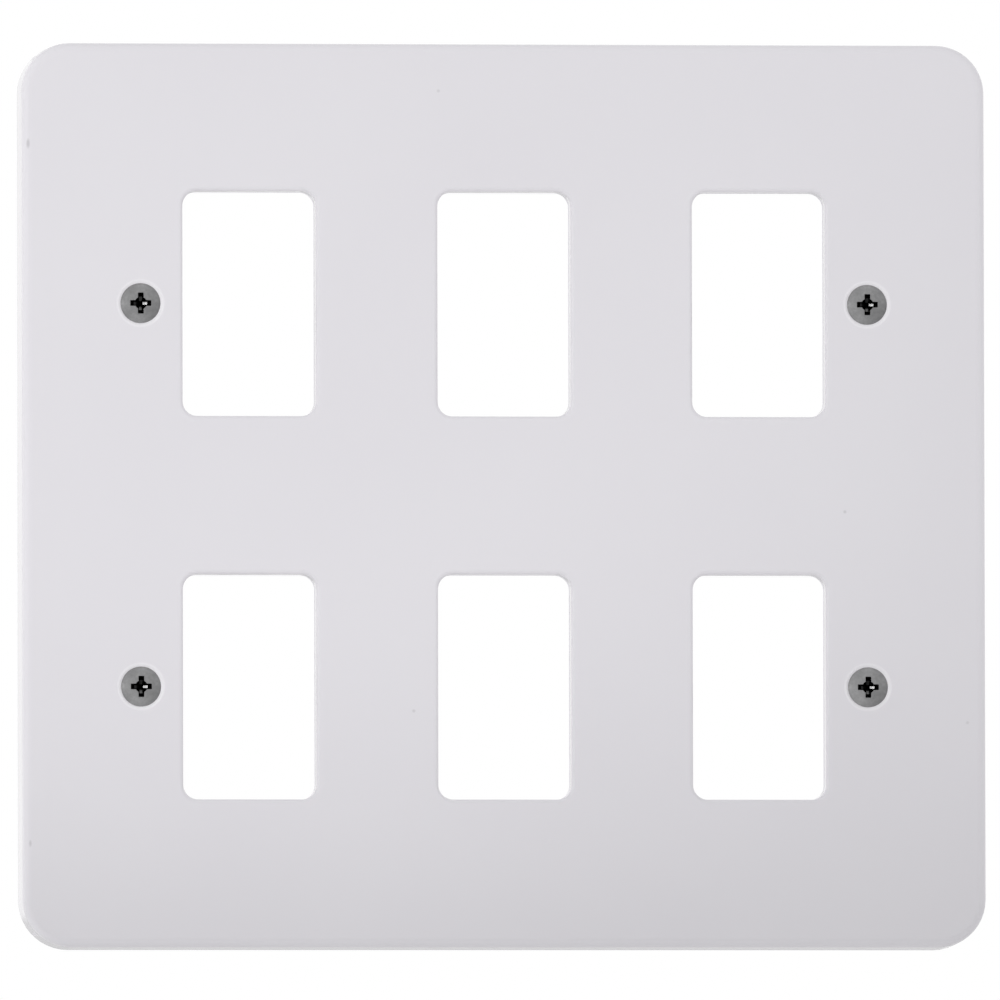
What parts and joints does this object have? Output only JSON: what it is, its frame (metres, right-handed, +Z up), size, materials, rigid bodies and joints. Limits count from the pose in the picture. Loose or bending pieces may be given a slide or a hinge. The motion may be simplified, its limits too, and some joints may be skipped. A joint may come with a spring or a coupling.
{
  "type": "grid switch front plate",
  "caption": "Flat moulded front plate for grid switches, with two rows of rectangular windows for switch modules and countersunk fixing screws seated near its left and right edges.",
  "frame": {"origin": "centre of the four fixing screws, on the wall plane that the plate's rear rim lies on", "axes": "+X to the right and +Z up as seen from the room, +Y into the wall along the screws; the front looks along -Y"},
  "size_m": [0.146, 0.0256, 0.1366],
  "materials": {
    "plate_moulding": "glossy moulded white",
    "screw_metal": "dull grey plated steel"
  },
  "bodies": {
    "root": {"faceplate": "plate_moulding", "fixing_screw_upper_left": "screw_metal", "fixing_screw_upper_right": "screw_metal", "fixing_screw_lower_left": "screw_metal", "fixing_screw_lower_right": "screw_metal"}
  },
  "joints": []
}
